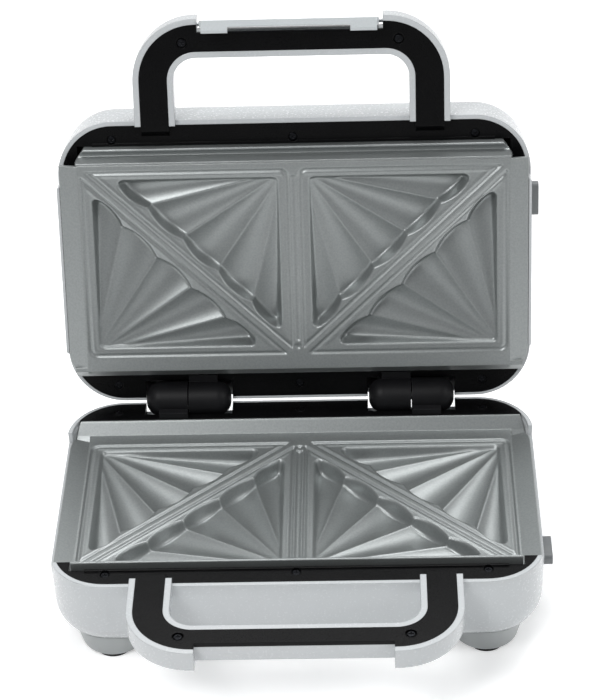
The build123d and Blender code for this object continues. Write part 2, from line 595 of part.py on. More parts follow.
def build():
    """All pieces by node name."""
    wing_gap = [block(sorted((s * 120, s * 150)), (-65.8, 57.3), (-SIDE_RIM, 5)) for s in (-1, 1)]
    gland_hole = Pos(0, 86, -36) * Rot(90, 0, 0) * Cylinder(5.0, 16)
    base = housing(SHIELD_Z) - wing_gap - gland_hole

    side_wall = block((BODY_X - 1.7, BODY_X), (-52, 52), (-RIM - 0.5, 7.0))
    side_wall = fillet(side_wall.edges().filter_by(Axis.Z).group_by(Axis.X)[-1], 1.5)
    lid = housing(SHIELD_Z + LID_SHIELD_RISE) + [side_wall, mirror(side_wall, about=Plane.YZ)]
    lens_holes = [rod(s * LAMP_X, LAMP_Y, -60, -40, LAMP_R) for s in (-1, 1)]
    lid -= lens_holes
    lid -= cross_rod(-LATCH_X - 4, LATCH_X + 4, CLIP_PIVOT[0], -CLIP_PIVOT[1], CLIP_PIN_R)

    seat_y = (CATCH_Y - 10, CATCH_Y + 10)
    strips = [block(sorted((s * 127.2, s * 136.0)), (-74.6, 70.8), (-17.0, -14.5)) for s in (-1, 1)]
    strips = [strip & body_form(WALL + 0.2) for strip in strips]
    frame_gap = [block(sorted((s * 120, s * 150)), (-65.8, 69.8), (-14.5, 5)) for s in (-1, 1)]
    low_frame = inner_frame(127.0, -16.0) - frame_gap + strips
    low_frame -= block((110, 150), (-53, -15), (-25, -5))
    low_frame -= block((-131.5, -110), seat_y, (-25, -5))
    lid_frame = inner_frame(127.0, -13.3)
    for s in (-1, 1):
        lid_frame -= block(sorted((s * 125.5, s * 131.4)), (CATCH_Y - 7, CATCH_Y + 7), (-25, 1))

    clamp = Pos(0, 88, -36) * Rot(90, 0, 0) * (Cylinder(7.5, 3) + Pos(0, 0, 3) * Cylinder(4.9, 9))
    clamp -= Pos(0, 88, -36) * Rot(90, 0, 0) * Cylinder(3.4, 40)
    clamp -= body_form(0) - gland_hole
    clamp = clamp.solids().sort_by(Axis.Y)[-1]

    block_body = block((-17, 17), (50, 64), (-49.4, -39))
    for k in (-1, 0, 1):
        block_body -= Pos(k * 11, 57, -44) * Rot(90, 0, 0) * Cylinder(2.2, 30)

    live = lead([(-11, 50, -44), (-11, 20, -44), (-30, -8, -44), (-30, -48, -44), (-14, -48, -44),
                 (-14, -48, -37.2)])
    neutral = lead([(11, 50, -44), (11, 25, -44), (30, -8, -44), (30, -48, -44), (14, -48, -44),
                    (14, -48, -37.2)])

    lens = rod(0, 0, -BODY_DEPTH - 0.9, -BODY_DEPTH + 4, LAMP_R - 0.05)
    lens = fillet(lens.edges().sort_by(Axis.Z)[0], 0.8)
    holder = rod(0, 0, -44, -BODY_DEPTH + 4, 6.2) - rod(0, 0, -46, -BODY_DEPTH + 8, 3)

    ring_screws = screw_set(FRAME_SCREWS, -RIM - 1.7, 9)
    grip_screws = screw_set(HANDLE_SCREWS, -FACE_GAP - 1.6, 7)
    pins = [cross_rod(s * BARREL_X - 19, s * BARREL_X + 19, HINGE_Y, 0, PIN_R) for s in (-1, 1)]
    rise = Pos(0, 0, LID_SHIELD_RISE)
    raised_shield = [rise * part for part in shield_screws()]
    raised_bushes = [rise * part for part in ceramic_bushes()]
    return {
        "lower_housing": base,
        "upper_housing": to_lid(lid),
        "lower_frame": low_frame,
        "upper_frame": to_lid(lid_frame),
        "lower_plate": lower_plate(),
        "upper_plate": to_lid(upper_plate()),
        "lower_element": element(),
        "upper_element": to_lid(rise * element()),
        "lower_heat_shield": heat_shield(),
        "upper_heat_shield": to_lid(rise * heat_shield()),
        "lower_shield_screws": shield_screws(),
        "upper_shield_screws": to_lid(raised_shield),
        "lower_ceramic_bushes": ceramic_bushes(),
        "upper_ceramic_bushes": to_lid(raised_bushes),
        "lower_thermostat": thermostat(8),
        "upper_thermostat": to_lid(rise * thermostat(8)),
        "thermal_fuse": thermal_fuse(60, 8),
        "terminal_block": block_body,
        "live_lead": live,
        "neutral_lead": neutral,
        "cord_gland": clamp,
        "lower_knuckles": knuckles(True, PIN_R),
        "upper_knuckles": to_lid(knuckles(False, PIN_R + PIN_RUN)),
        "hinge_pins": pins,
        "lower_frame_screws": ring_screws,
        "upper_frame_screws": to_lid(ring_screws),
        "lower_handle_screws": grip_screws,
        "upper_handle_screws": to_lid(grip_screws),
        "lower_release_button": release_button(),
        "upper_release_button": to_lid(release_button()),
        "lower_plate_catch": plate_catch(),
        "upper_plate_catch": to_lid(plate_catch()),
        "lower_catch_spring": catch_spring(),
        "upper_catch_spring": to_lid(catch_spring()),
        "lower_plate_seat": plate_seat(-131.5),
        "upper_plate_seat": to_lid(plate_seat(-135.8)),
        "latch_clip": clip_at_rest(latch_clip()),
        "latch_pin": swing_open(clip_pin()),
        "power_lens": to_lid(Pos(-LAMP_X, LAMP_Y) * lens),
        "ready_lens": to_lid(Pos(LAMP_X, LAMP_Y) * lens),
        "lamp_holders": to_lid([Pos(s * LAMP_X, LAMP_Y) * holder for s in (-1, 1)]),
        "feet": feet(),
        "foot_pads": foot_pads(),
    }


def as_compound(shape):
    """One compound of separate solids from a shape or a list of shapes."""
    shapes = shape if isinstance(shape, list) else [shape]
    solids = [solid for item in shapes for solid in item.solids()]
    return Compound(children=solids)


pieces = {name: as_compound(shape) for name, shape in build().items()}
box = Compound(children=list(pieces.values())).bounding_box()
middle = box.center()
shift = Vector(-middle.X, -middle.Y, -box.min.Z)
print("shift", shift.X, shift.Y, shift.Z, "size", box.size.X, box.size.Y, box.size.Z)

os.makedirs("parts", exist_ok=True)
for name, piece in pieces.items():
    solids = [solid.moved(Location(shift)) for solid in piece.solids()]
    export_step(Compound(children=solids), f"parts/{name}.step")
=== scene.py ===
"""Looks of a countertop sandwich toaster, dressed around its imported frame.

The CAD nodes keep their shapes and get the finishes of the real materials. What a hand or an eye
meets first is modelled again with finer forms: the cast relief of the plates, the release buttons,
the screw heads, the lamp lenses and the rubber pads. A plain studio with the photograph's camera
ends it.
"""

import logging
import math
from collections.abc import Callable, Iterable
from dataclasses import dataclass
from enum import Enum

import bmesh
import bpy
import numpy as np
from mathutils import Matrix, Vector


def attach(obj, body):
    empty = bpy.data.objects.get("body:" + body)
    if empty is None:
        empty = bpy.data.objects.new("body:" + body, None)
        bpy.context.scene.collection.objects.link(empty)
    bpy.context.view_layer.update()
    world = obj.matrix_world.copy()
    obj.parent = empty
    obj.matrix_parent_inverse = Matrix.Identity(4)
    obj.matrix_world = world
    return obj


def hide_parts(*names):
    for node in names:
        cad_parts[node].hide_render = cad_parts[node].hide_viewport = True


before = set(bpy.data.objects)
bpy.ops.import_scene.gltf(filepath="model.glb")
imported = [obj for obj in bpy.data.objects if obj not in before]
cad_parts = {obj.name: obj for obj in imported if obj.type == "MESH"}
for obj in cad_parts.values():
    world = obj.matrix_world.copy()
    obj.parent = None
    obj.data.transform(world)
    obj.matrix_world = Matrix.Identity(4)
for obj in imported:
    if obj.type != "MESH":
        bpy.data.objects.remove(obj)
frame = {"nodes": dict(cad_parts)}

LOG = logging.getLogger("toaster")
MM = 0.001

# Parts of a noise's range that the roughness and the mottling are spread over
ROUGH_RANGE = (0.3, 0.7)
MOTTLE_RANGE = (0.36, 0.68)
# Cosines of the turn of an edge's softened normal where its painted highlight and rubbed paleness
# start and are full
EDGE_WEAR_AND_HIGHLIGHT_RANGE = (0.995, 0.86)
MOTTLE_DETAIL, GRAIN_DETAIL = 3.0, 2.0
GRAIN_HEIGHT = 0.2 * MM
COAT_ROUGHNESS = 0.12
EDGE_SAMPLES = 6


class Half(Enum):
    """The two halves of the appliance, by the prefix of their nodes."""

    LOWER = "lower"
    UPPER = "upper"

    @property
    def body(self) -> str:
        """Name of the body that carries the half's fixed pieces."""
        return "base" if self is Half.LOWER else "lid"


class Shade(Enum):
    """How the faces of a piece are shaded."""

    SMOOTH = "smooth"
    CRISP = "crisp"


def linear(code: str) -> tuple[float, float, float, float]:
    """Turns a colour as seen on a screen into the renderer's linear light.

    Args:
        code: Six hexadecimal digits with a leading hash.

    Returns:
        Red, green, blue and a full alpha, each from 0 to 1.
    """
    parts = [int(code[i:i + 2], 16) / 255 for i in (1, 3, 5)]
    light = [c / 12.92 if c <= 0.04045 else ((c + 0.055) / 1.055) ** 2.4 for c in parts]
    return (light[0], light[1], light[2], 1.0)


def add_node(tree: bpy.types.NodeTree, kind: str, settings: dict[str | int, object],
             links: dict[str | int, bpy.types.NodeSocket]) -> bpy.types.Node:
    """Adds one node to a tree.

    Args:
        tree: The material's or the world's nodes.
        kind: Type of the node.
        settings: Values by the name of a property, or by the name or number of an input.
        links: Sockets to join, by the name or number of the input that they feed.

    Returns:
        The new node.
    """
    node = tree.nodes.new(kind)
    for name, value in settings.items():
        if isinstance(name, str) and hasattr(node, name):
            setattr(node, name, value)
        else:
            node.inputs[name].default_value = value
    for name, socket in links.items():
        tree.links.new(socket, node.inputs[name])
    return node


@dataclass(frozen=True)
class Finish:
    """One real material.

    Attributes:
        name: Name of the Blender material.
        colour: Main colour, as seen.
        second: Colour of its faint mottling, as seen.
        edge_wear_and_highlight_colour: Colour of its edges: painted highlight, and a coat that is
            thin or rubbed there.
        mottle: Size of its mottles, in millimetres.
        rough: Least and greatest roughness.
        grain: Size of the grain of its surface, in millimetres.
        relief: Strength of the grain, 0 to 1.
        stretch: How much the grain is drawn out along x, y and z.
        metallic: 1 for bare metal.
        coat: Clear gloss over the colour.
        specular: Strength of its reflections.
        transmission: 1 for clear mouldings.
        edge: Radius of its softened edges, in millimetres.
        edge_wear_and_highlight: How much of the edge colour shows, 0 to 1: painted highlight and
            rubbing together.
    """

    name: str
    colour: str
    second: str
    edge_wear_and_highlight_colour: str = "#FFFFFF"
    mottle: float = 33.0
    rough: tuple[float, float] = (0.30, 0.40)
    grain: float = 0.45
    relief: float = 0.05
    stretch: tuple[float, float, float] = (1.0, 1.0, 1.0)
    metallic: float = 0.0
    coat: float = 0.0
    specular: float = 0.5
    transmission: float = 0.0
    edge: float = 0.4
    edge_wear_and_highlight: float = 0.0

    def make(self) -> bpy.types.Material:
        """Builds the material once and gives it back on later calls.

        Returns:
            The material, with its colour, roughness and relief made from nodes.
        """
        made = bpy.data.materials.get(self.name)
        if made:
            return made
        material = bpy.data.materials.new(self.name)
        material.use_nodes = True
        tree = material.node_tree
        shader = tree.nodes["Principled BSDF"]
        for name, value in (("Metallic", self.metallic), ("Coat Weight", self.coat),
                            ("Coat Roughness", COAT_ROUGHNESS),
                            ("Specular IOR Level", self.specular),
                            ("Transmission Weight", self.transmission)):
            shader.inputs[name].default_value = value
        place = add_node(tree, "ShaderNodeTexCoord", {}, {}).outputs["Object"]
        drawn = add_node(tree, "ShaderNodeMapping", {"Scale": self.stretch}, {"Vector": place})
        mottle = add_node(tree, "ShaderNodeTexNoise",
                          {"Scale": 1 / (self.mottle * MM), "Detail": MOTTLE_DETAIL},
                          {"Vector": place})
        grain = add_node(tree, "ShaderNodeTexNoise",
                         {"Scale": 1 / (self.grain * MM), "Detail": GRAIN_DETAIL},
                         {"Vector": drawn.outputs["Vector"]})
        soft = add_node(tree, "ShaderNodeBevel",
                        {"samples": EDGE_SAMPLES, "Radius": self.edge * MM}, {})
        rough = add_node(tree, "ShaderNodeMapRange",
                         {"From Min": ROUGH_RANGE[0], "From Max": ROUGH_RANGE[1],
                          "To Min": self.rough[0], "To Max": self.rough[1]},
                         {"Value": grain.outputs["Fac"]})
        bump = add_node(tree, "ShaderNodeBump",
                        {"Strength": self.relief, "Distance": GRAIN_HEIGHT},
                        {"Height": grain.outputs["Fac"], "Normal": soft.outputs["Normal"]})
        colour = self._colour(tree, mottle.outputs["Fac"], soft.outputs["Normal"])
        tree.links.new(colour, shader.inputs["Base Color"])
        tree.links.new(rough.outputs["Result"], shader.inputs["Roughness"])
        tree.links.new(bump.outputs["Normal"], shader.inputs["Normal"])
        return material

    def _colour(self, tree: bpy.types.NodeTree, mottle: bpy.types.NodeSocket,
                soft: bpy.types.NodeSocket) -> bpy.types.NodeSocket:
        """Mottles the colour, and paints a lighter highlight along the edges if the finish has
        one.

        Args:
            tree: The material's nodes.
            mottle: Value of the mottling.
            soft: Normal of the softened edges.

        Returns:
            The socket that carries the colour.
        """
        ramp = add_node(tree, "ShaderNodeValToRGB", {}, {"Fac": mottle})
        first, last = ramp.color_ramp.elements
        first.position, first.color = MOTTLE_RANGE[0], linear(self.colour)
        last.position, last.color = MOTTLE_RANGE[1], linear(self.second)
        if self.edge_wear_and_highlight == 0:
            return ramp.outputs["Color"]
        # Lighter colour where the softened normal turns from the face: a painted highlight along
        # edges and folds, partly rubbed paleness
        flat = add_node(tree, "ShaderNodeNewGeometry", {}, {}).outputs["Normal"]
        turn = add_node(tree, "ShaderNodeVectorMath", {"operation": "DOT_PRODUCT"},
                        {0: soft, 1: flat})
        edge_wear_and_highlight_mask = add_node(tree, "ShaderNodeMapRange",
                        {"From Min": EDGE_WEAR_AND_HIGHLIGHT_RANGE[0], "From Max": EDGE_WEAR_AND_HIGHLIGHT_RANGE[1],
                         "To Max": self.edge_wear_and_highlight}, {"Value": turn.outputs["Value"]})
        mix = add_node(tree, "ShaderNodeMix", {"data_type": "RGBA", 7: linear(self.edge_wear_and_highlight_colour)},
                       {0: edge_wear_and_highlight_mask.outputs["Result"], 6: ramp.outputs["Color"]})
        return mix.outputs[2]


# Casing: glossy moulded polypropylene. Smooth and pale, with wide soft highlights
CASING = Finish("casing_gloss_plastic", "#C6C9CB", "#C1C5C7", mottle=83.3, rough=(0.25, 0.28),
                relief=0.006, grain=1.43, coat=0.25, edge=0.9)
# Inner frame and handle faces: black moulded resin. Deep black, with a satin sheen and faintly
# lighter edges, a painted highlight
BLACK = Finish("black_satin_plastic", "#0A0A0B", "#070708", "#1C1D1E", mottle=16.7,
               rough=(0.24, 0.34), grain=0.333, relief=0.06, specular=0.12, edge=0.6, edge_wear_and_highlight=0.25)
# Plates: die-cast aluminium under a baked non-stick coat. A grey metal with a fine fleck, soft
# highlights along the flutes and paler edges, a painted highlight along the folds
COATED = Finish("nonstick_cast_aluminium", "#989C9C", "#909494", "#CBCECD", mottle=1.11,
                rough=(0.34, 0.41), grain=0.312, relief=0.07, metallic=0.7, specular=0.5,
                edge=0.8, edge_wear_and_highlight=0.3)
# Latch clip: moulded acetal. A little paler and waxier than the casing
CLIP = Finish("clip_pale_plastic", "#C6CBCD", "#C0C5C7", mottle=50, rough=(0.24, 0.32),
              relief=0.03, coat=0.2, edge=0.6)
# Release buttons: moulded plastic with a spark-eroded grain. Mid grey and nearly matt
BUTTON = Finish("button_grey_plastic", "#7C7F80", "#76797B", mottle=12.5, rough=(0.38, 0.5),
                grain=0.294, relief=0.12, edge=0.3)
# Feet: the casing's plastic in a duller grade. Greyer, with blurred highlights
FOOT = Finish("foot_grey_plastic", "#ABAFAF", "#A5A9AA", mottle=55.6, rough=(0.3, 0.4),
              relief=0.05, edge=0.8)
# Pads under the feet: moulded rubber, a little dusty. Matt charcoal with no highlight
RUBBER = Finish("pad_rubber", "#242424", "#303030", mottle=5, rough=(0.75, 0.9), grain=0.556,
                relief=0.3, specular=0.25)
# Hinge knuckles and the cord's gland: moulded resin. Near black, duller than the frame
KNUCKLE = Finish("knuckle_dark_plastic", "#161618", "#111113", "#2A2B2D", mottle=14.3,
                 rough=(0.42, 0.55), grain=0.385, relief=0.12, specular=0.2, edge_wear_and_highlight=0.3)
# Pins, catches, springs and thermostats: nickel-plated drawn steel. Bright, with fine lines
STEEL = Finish("plated_steel", "#B4B6B8", "#A4A6A9", "#D9DADB", mottle=6.67, rough=(0.22, 0.4),
               grain=0.714, relief=0.12, stretch=(0.08, 1, 1), metallic=1, edge=0.2, edge_wear_and_highlight=0.4)
# Screws: steel with a black oxide finish. Dark metal, painted paler along its edges
BLACK_STEEL = Finish("blackened_steel", "#26272A", "#1E1F21", "#55565A", mottle=2,
                     rough=(0.3, 0.45), relief=0.1, metallic=1, edge=0.2, edge_wear_and_highlight=0.6)
# Heat shields: mill-finished aluminium sheet. Pale metal, streaked along the rolling
SHEET = Finish("mill_aluminium_sheet", "#C3C6C8", "#B8BBBE", mottle=16.7, rough=(0.28, 0.46),
               grain=0.833, relief=0.15, stretch=(0.05, 1, 1), metallic=1, edge=0.3)
# Heating elements: sheathed tube. Brown-grey metal, tinted by heat
SHEATH = Finish("heat_tinted_sheath", "#6B625C", "#57524F", "#8A827A", mottle=11.1,
                rough=(0.38, 0.55), grain=0.455, relief=0.2, metallic=1, edge_wear_and_highlight=0.3)
# Bushes and the fuse's sleeve: glazed steatite. Warm white with sharp highlights
CERAMIC = Finish("glazed_ceramic", "#ECE9E0", "#E2DED3", mottle=7.14, rough=(0.12, 0.25),
                 relief=0.06, coat=0.6)
# Terminal block and lamp holders: natural nylon. Dull cream
NYLON = Finish("natural_nylon", "#E0DBCB", "#D8D2C0", mottle=10, rough=(0.4, 0.55), relief=0.1)
# Internal leads: braided glass sleeving over wire. Off-white, with a coarse dry weave
SLEEVE = Finish("glass_sleeved_wire", "#D9D7D0", "#BDBAB1", mottle=0.667, rough=(0.6, 0.8),
                grain=0.263, relief=0.5)
# Lamp lenses: tinted acrylic. Clear, saturated and very glossy
RED_LENS = Finish("red_acrylic", "#C0201B", "#A81814", mottle=5, rough=(0.05, 0.1),
                  relief=0.02, transmission=0.55, coat=0.5)
GREEN_LENS = Finish("green_acrylic", "#1E9A45", "#178539", mottle=5, rough=(0.05, 0.1),
                    relief=0.02, transmission=0.55, coat=0.5)
# Background: matt white paper. Plain white, with the object's soft shadow on it
PAPER = Finish("background_paper", "#FBFBFB", "#F8F8F8", mottle=330, rough=(0.85, 0.95),
               relief=0.02, specular=0.1)


@dataclass(frozen=True)
class Placement:
    """Where the closed drawing of each half stands in the frame.

    Attributes:
        shift: From the middle of the parting plane to the frame's origin, in metres.
        hinge_y: Distance of the hinge line behind the middle, in metres.
        opened: How far the lid is open, in degrees.
    """

    shift: tuple[float, float, float] = (-3.15 * MM, -10.745 * MM, 64.0 * MM)
    hinge_y: float = 85.0 * MM
    opened: float = 103.2

    def of(self, half: Half) -> Matrix:
        """Matrix from the closed drawing, with depths below z = 0, to the frame.

        Args:
            half: The half that the drawing is for.

        Returns:
            A matrix that also mirrors the drawing for the lid.
        """
        base = Matrix.Translation(Vector(self.shift))
        if half is Half.LOWER:
            return base
        hinge = Vector((0, self.hinge_y, 0))
        swing = Matrix.Rotation(-math.radians(self.opened), 4, "X")
        flip = Matrix.Diagonal((1, 1, -1, 1))
        return base @ Matrix.Translation(hinge) @ swing @ Matrix.Translation(-hinge) @ flip


@dataclass(frozen=True)
class Extent:
    """Box around a set of points, by its low and high corners."""

    low: tuple[float, ...]
    high: tuple[float, ...]

    @classmethod
    def of(cls, points: Iterable[Vector]) -> "Extent":
        """Box around the given points."""
        axes = list(zip(*points))
        return cls(tuple(min(axis) for axis in axes), tuple(max(axis) for axis in axes))

    @property
    def middle(self) -> tuple[float, float]:
        """Middle along x and y."""
        return ((self.low[0] + self.high[0]) / 2, (self.low[1] + self.high[1]) / 2)

    @property
    def radius(self) -> float:
        """Half of the width along x."""
        return (self.high[0] - self.low[0]) / 2


class Workbench:
    """Makes meshes with Blender's own modelling operators."""

    @staticmethod
    def deselect() -> None:
        """Leaves edit mode and clears the selection."""
        if bpy.context.object and bpy.context.object.mode != "OBJECT":
            bpy.ops.object.mode_set(mode="OBJECT")
        bpy.ops.object.select_all(action="DESELECT")

    @classmethod
    def select(cls, pieces: list[bpy.types.Object]) -> None:
        """Selects pieces and nothing else, with the first one active.

        Args:
            pieces: The pieces to select.
        """
        cls.deselect()
        for piece in pieces:
            piece.select_set(True)
        bpy.context.view_layer.objects.active = pieces[0]

    @staticmethod
    def take(name: str) -> bpy.types.Object:
        """Names the primitive that was just added and applies its place and scale.

        Args:
            name: Name of the object and of its mesh.

        Returns:
            The object, at the origin.
        """
        piece = bpy.context.object
        piece.name = name
        piece.data.name = name
        bpy.ops.object.transform_apply(location=True, rotation=True, scale=True)
        return piece

    @classmethod
    def disc(cls, name: str, radius: float, bottom: float, top: float,
             sides: int) -> bpy.types.Object:
        """Adds a short cylinder about the z axis.

        Args:
            name: Name of the object.
            radius: Radius, in metres.
            bottom: Lower end along z, in metres.
            top: Upper end along z, in metres.
            sides: Number of flat sides.

        Returns:
            The cylinder.
        """
        cls.deselect()
        bpy.ops.mesh.primitive_cylinder_add(vertices=sides, radius=radius, depth=top - bottom,
                                            location=(0, 0, (top + bottom) / 2))
        return cls.take(name)

    @classmethod
    def slab(cls, name: str, size: tuple[float, float, float],
             centre: tuple[float, float, float]) -> bpy.types.Object:
        """Adds a block.

        Args:
            name: Name of the object.
            size: Length along each axis, in metres.
            centre: Middle, in metres.

        Returns:
            The block.
        """
        cls.deselect()
        bpy.ops.mesh.primitive_cube_add(size=1, location=centre)
        bpy.context.object.scale = size
        return cls.take(name)

    @staticmethod
    def pick_faces(piece: bpy.types.Object, direction: Vector, share: float = 0.9) -> None:
        """Selects, in edit mode, the faces that look along a direction.

        Args:
            piece: The piece in edit mode.
            direction: Where the faces look.
            share: Least cosine between a face's normal and the direction.
        """
        mesh = bmesh.from_edit_mesh(piece.data)
        for face in mesh.faces:
            face.select = face.normal.dot(direction) > share
        bmesh.update_edit_mesh(piece.data)

    @staticmethod
    def pick_edges(piece: bpy.types.Object, rule: Callable[[Vector, Vector], bool]) -> None:
        """Selects, in edit mode, the edges that a rule allows.

        Args:
            piece: The piece in edit mode.
            rule: Says of an edge's two ends whether it is one of them.
        """
        mesh = bmesh.from_edit_mesh(piece.data)
        for face in mesh.faces:
            face.select = False
        for edge in mesh.edges:
            edge.select = rule(edge.verts[0].co, edge.verts[1].co)
        bmesh.update_edit_mesh(piece.data)

    @classmethod
    def edit(cls, piece: bpy.types.Object, mode: str = "FACE") -> None:
        """Opens edit mode on one piece with nothing selected.

        Args:
            piece: The piece to edit.
            mode: What is selected: faces or edges.
        """
        cls.select([piece])
        bpy.ops.object.mode_set(mode="EDIT")
        bpy.ops.mesh.select_mode(type=mode)
        bpy.ops.mesh.select_all(action="DESELECT")

    @classmethod
    def apply(cls, piece: bpy.types.Object, kind: str, **settings: object) -> None:
        """Adds a modifier and applies it.

        Args:
            piece: The piece to change.
            kind: Type of the modifier.
            **settings: Its settings by name.
        """
        cls.select([piece])
        modifier = piece.modifiers.new(kind.lower(), kind)
        for key, value in settings.items():
            setattr(modifier, key, value)
        bpy.ops.object.modifier_apply(modifier=modifier.name)

    @staticmethod
    def shade(piece: bpy.types.Object, shade: Shade) -> None:
        """Shades every face of a piece alike."""
        for face in piece.data.polygons:
            face.use_smooth = shade is Shade.SMOOTH

    @classmethod
    def settle(cls, piece: bpy.types.Object, matrix: Matrix, shade: Shade) -> None:
        """Puts the piece's place into its mesh and mends its normals.

        Args:
            piece: The finished piece.
            matrix: Its place.
            shade: How its faces are shaded.
        """
        piece.data.transform(matrix)
        cls.edit(piece)
        bpy.ops.mesh.select_all(action="SELECT")
        bpy.ops.mesh.normals_make_consistent(inside=False)
        cls.deselect()
        cls.shade(piece, shade)

    @classmethod
    def gather(cls, pieces: list[bpy.types.Object], name: str) -> bpy.types.Object:
        """Joins pieces of one kind into one object.

        Args:
            pieces: The pieces. The first one takes in the others.
            name: Name of the whole.

        Returns:
            The joined object.
        """
        cls.select(pieces)
        bpy.ops.object.join()
        pieces[0].name = name
        return pieces[0]


class Assembly:
    """A group of nodes and new pieces that share a purpose."""

    finishes: dict[str, Finish] = {}

    def __init__(self, nodes: dict[str, bpy.types.Object], placement: Placement) -> None:
        """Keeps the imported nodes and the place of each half."""
        self.nodes = nodes
        self.placement = placement

    def paint(self, piece: bpy.types.Object, finish: Finish) -> None:
        """Gives every face of a piece one finish.

        Args:
            piece: The piece to paint.
            finish: Its finish.
        """
        if not piece.material_slots:
            piece.data.materials.append(None)
        for slot in piece.material_slots:
            slot.link = "OBJECT"
            slot.material = finish.make()

    def dress(self) -> None:
        """Gives each of the assembly's nodes its finish."""
        for name, finish in self.finishes.items():
            self.paint(self.nodes[name], finish)
            LOG.info("dressed %s in %s", name, finish.name)

    def fit(self, piece: bpy.types.Object, body: str, node: str) -> None:
        """Gives a new piece its node's finish and lets it stand for the node.

        Args:
            piece: The new piece.
            body: The body that carries it.
            node: The node that it replaces.
        """
        self.paint(piece, self.finishes[node])
        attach(piece, body)
        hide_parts(node)
        LOG.info("modelled %s for %s", piece.name, node)

    def build(self) -> None:
        """Models the assembly's new pieces. Most assemblies have none."""


class Casing(Assembly):
    """Housings, black inner frames and feet."""

    finishes = {"lower_housing": CASING, "upper_housing": CASING, "lower_frame": BLACK,
                "upper_frame": BLACK, "feet": FOOT, "cord_gland": KNUCKLE}


@dataclass(frozen=True)
class FieldSize:
    """Sizes of the cast relief on a plate, in millimetres, in the closed drawing.

    Attributes:
        face: Height of the flat face in the base and in the lid.
        cell: Middle of the left square.
        half: Half of a square along x and y.
        inset: From a square's corner to the corner of its pocket.
        cusp_line: Middle of the cusps along either leg of a pocket.
        cusps: Number of cusps between the scallops.
        pitch: Cusp to cusp along either leg.
        tip: Length of a pocket's legs.
        bulge: Height of the arc of each scallop.
        depth: Greatest depth of a pocket.
        start: Depth of a pocket in its corner.
        ridge: Height of the ridges between the flutes.
        wall: Width of the rounded walls.
        wall_shape: Power of the walls' curve, and its height over the depth.
        blend: Height over which a wall turns into the floor.
        reach: How far the floor deepens, as a share of the way to the cusps.
        fan: From a pocket's corner out to the point that its flutes fan from.
        corner: Radius of a pocket's square corner.
        tip_round: Radius of the rounded tips.
        patch: Extent of the relief: half of x, front and rear.
        step: Spacing of the mesh.
    """

    face: tuple[float, float] = (-11.25, 10.75)
    cell: tuple[float, float] = (-63.8, -4.5)
    half: tuple[float, float] = (61.0, 57.8)
    inset: tuple[float, float] = (6.2, 5.4)
    cusp_line: float = 47.0
    cusps: int = 4
    pitch: float = 19.9
    tip: float = 95.5
    bulge: float = 3.0
    depth: float = 9.6
    start: float = 2.4
    ridge: float = 3.4
    wall: float = 6.4
    wall_shape: tuple[float, float] = (2.3, 1.25)
    blend: float = 1.6
    reach: float = 1.05
    fan: float = 3.0
    corner: float = 3.0
    tip_round: float = 4.6
    patch: tuple[float, float, float] = (125.4, -63.8, 55.2)
    step: float = 0.7


@dataclass(frozen=True)
class LineSize:
    """Sizes of the fine lines cast on a plate's face, in millimetres.

    Attributes:
        corner: Radius of the corners of the sunken fields.
        rib: Half of the width of the rib along each diagonal.
        sunk: Depth of a field below the face, and the run of its step.
        groove: Place inside a field's edge, half width and depth of the groove.
        bead: The same of the raised bead, whose depth is negative.
        channel: Half width, half length, middle along y, run and depth of the middle channel.
        stop: Place along y, half length, run and height of the stop across the channel.
        lip: Depth in a pocket down to which the lines fade out.
    """

    corner: float = 5.0
    rib: float = 1.9
    sunk: tuple[float, float] = (0.5, 0.7)
    groove: tuple[float, float, float] = (0.8, 0.9, 0.75)
    bead: tuple[float, float, float] = (2.9, 1.1, -0.35)
    channel: tuple[float, float, float, float, float] = (1.7, 54.0, -4.0, 0.6, 1.0)
    stop: tuple[float, float, float, float] = (46.0, 1.6, 0.5, 0.9)
    lip: float = 1.0


